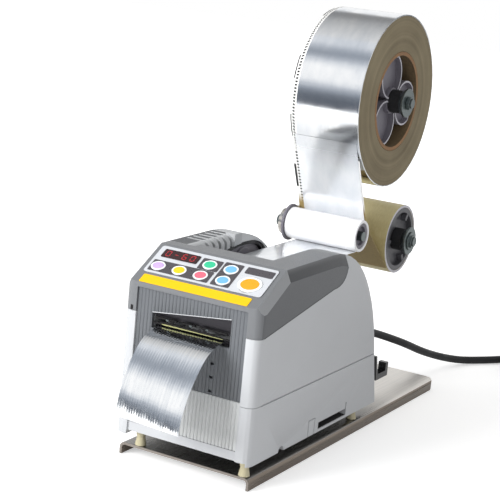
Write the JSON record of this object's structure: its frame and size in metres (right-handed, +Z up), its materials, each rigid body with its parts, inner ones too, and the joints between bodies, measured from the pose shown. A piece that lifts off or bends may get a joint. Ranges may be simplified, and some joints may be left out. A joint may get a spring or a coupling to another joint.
{
  "type": "electric tape dispenser",
  "caption": "Electric bench tape dispenser with sloped key panel, foil tape feeding from a reel stand on a stainless base, liner take-up reel and mains cord.",
  "frame": {"origin": "centre of the standing part's footprint, on the surface it stands on; the free cord is left out of the measure", "axes": "+X to the operator's right, +Y to the rear, away from the operator, +Z up"},
  "size_m": [0.2406, 0.5763, 0.337],
  "materials": {
    "body_grey": "satin moulded ABS, light grey",
    "hood_grey": "satin moulded ABS, mid grey",
    "cover_grey": "satin moulded ABS",
    "front_grey": "ribbed moulded panel",
    "lower_front_grey": "ribbed moulded panel",
    "panel_film": "printed film, unprinted here",
    "panel_dark": "printed field",
    "display_red": "dark display lens",
    "strip_yellow": "plain film strip",
    "key_purple": "moulded key",
    "key_yellow": "moulded key",
    "key_pink": "moulded key",
    "key_green": "moulded key",
    "key_blue": "moulded key",
    "key_orange": "moulded key",
    "stainless": "brushed stainless sheet",
    "turned_steel": "turned and plated",
    "blade_steel": "ground tool steel",
    "brassy_bar": "yellow passivated steel",
    "foil": "bright foil",
    "kraft": "kraft paper liner edge",
    "core_board": "paperboard tube",
    "hub_dark": "moulded nylon",
    "roller_white": "white acetal",
    "black_rubber": "soft black",
    "roller_rubber": "moulded rubber",
    "foot_rubber": "translucent yellowish rubber",
    "black_plastic": "black moulded"
  },
  "bodies": {
    "base": {"base_plate": "stainless", "foot_front_left": "foot_rubber", "foot_front_right": "foot_rubber", "foot_rear_left": "foot_rubber", "foot_rear_right": "foot_rubber", "stand_plate": "stainless", "lower_case": "body_grey", "upper_case": "body_grey", "hood": "hood_grey", "left_side_cover": "cover_grey", "front_panel": "front_grey", "lower_front_panel": "lower_front_grey", "arch_seal": "black_rubber", "side_plate": "hub_dark", "cable_hook": "black_plastic", "control_overlay": "panel_film", "key_field_row": "panel_dark", "key_field_single": "panel_dark", "key_field_pair": "panel_dark", "blank_field": "panel_dark", "display_window": "display_red", "yellow_strip": "strip_yellow", "cutter_bed": "blade_steel", "outlet_bar": "brassy_bar", "supply_shaft": "turned_steel", "supply_friction_ring": "black_rubber", "supply_flange": "turned_steel", "supply_nut": "turned_steel", "guide_shaft": "turned_steel", "takeup_shaft": "turned_steel", "takeup_friction_ring": "black_rubber", "takeup_flange": "turned_steel", "takeup_nut": "turned_steel", "foil_web": "foil", "tape_tongue": "foil", "liner_web": "kraft", "strain_relief": "black_rubber", "power_cord": "black_rubber", "cord_coil": "black_rubber", "power_plug": "black_plastic"},
    "supply_reel": {"supply_hub": "hub_dark", "supply_core": "core_board", "supply_roll": "kraft", "supply_foil": "foil"},
    "guide": {"guide_roller": "roller_white", "guide_flange": "hub_dark", "guide_endcap": "hub_dark"},
    "takeup_reel": {"takeup_hub": "hub_dark", "takeup_roll": "kraft"},
    "feed": {"feed_roller": "roller_rubber"},
    "pressure": {"pressure_roller": "roller_rubber"},
    "blade": {"cutter_blade": "blade_steel"},
    "button_purple_key": {"button_purple": "key_purple"},
    "button_yellow_key": {"button_yellow": "key_yellow"},
    "button_pink_key": {"button_pink": "key_pink"},
    "button_green_key": {"button_green": "key_green"},
    "button_blue_upper_key": {"button_blue_upper": "key_blue"},
    "button_blue_lower_key": {"button_blue_lower": "key_blue"},
    "button_orange_key": {"button_orange": "key_orange"}
  },
  "joints": [
    {"name": "supply_spin", "type": "hinge", "parent": "base", "child": "supply_reel", "pos_m": [0, 0.10263, 0.2652], "axis": [1, 0, 0], "continuous": true},
    {"name": "guide_spin", "type": "hinge", "parent": "base", "child": "guide", "pos_m": [0, 0.05893, 0.1568], "axis": [1, 0, 0], "continuous": true},
    {"name": "takeup_spin", "type": "hinge", "parent": "base", "child": "takeup_reel", "pos_m": [0, 0.14203, 0.1424], "axis": [1, 0, 0], "continuous": true},
    {"name": "feed_spin", "type": "hinge", "parent": "base", "child": "feed", "pos_m": [0, -0.1029, 0.10644], "axis": [1, 0, 0], "continuous": true},
    {"name": "pressure_spin", "type": "hinge", "parent": "base", "child": "pressure", "pos_m": [0, -0.10946, 0.12212], "axis": [1, 0, 0], "continuous": true},
    {"name": "blade_slide", "type": "slide", "parent": "base", "child": "blade", "axis": [0, 0, -1], "range_m": [0, 0.008]},
    {"name": "press_purple", "type": "slide", "parent": "base", "child": "button_purple_key", "axis": [0, 0.5, -0.866], "range_m": [0, 0.0008], "stiffness_N_per_m": 600},
    {"name": "press_yellow", "type": "slide", "parent": "base", "child": "button_yellow_key", "axis": [0, 0.5, -0.866], "range_m": [0, 0.0008], "stiffness_N_per_m": 600},
    {"name": "press_pink", "type": "slide", "parent": "base", "child": "button_pink_key", "axis": [0, 0.5, -0.866], "range_m": [0, 0.0008], "stiffness_N_per_m": 600},
    {"name": "press_green", "type": "slide", "parent": "base", "child": "button_green_key", "axis": [0, 0.5, -0.866], "range_m": [0, 0.0008], "stiffness_N_per_m": 600},
    {"name": "press_blue_upper", "type": "slide", "parent": "base", "child": "button_blue_upper_key", "axis": [0, 0.5, -0.866], "range_m": [0, 0.0008], "stiffness_N_per_m": 600},
    {"name": "press_blue_lower", "type": "slide", "parent": "base", "child": "button_blue_lower_key", "axis": [0, 0.5, -0.866], "range_m": [0, 0.0008], "stiffness_N_per_m": 600},
    {"name": "press_orange", "type": "slide", "parent": "base", "child": "button_orange_key", "axis": [0, 0.5, -0.866], "range_m": [0, 0.0008], "stiffness_N_per_m": 600}
  ],
  "couplings": [
    {"joint": "guide_spin", "follows": "supply_spin", "ratio": -5.2774},
    {"joint": "takeup_spin", "follows": "supply_spin", "ratio": -2.3705},
    {"joint": "feed_spin", "follows": "supply_spin", "ratio": 7.6105},
    {"joint": "pressure_spin", "follows": "supply_spin", "ratio": -9.64}
  ]
}
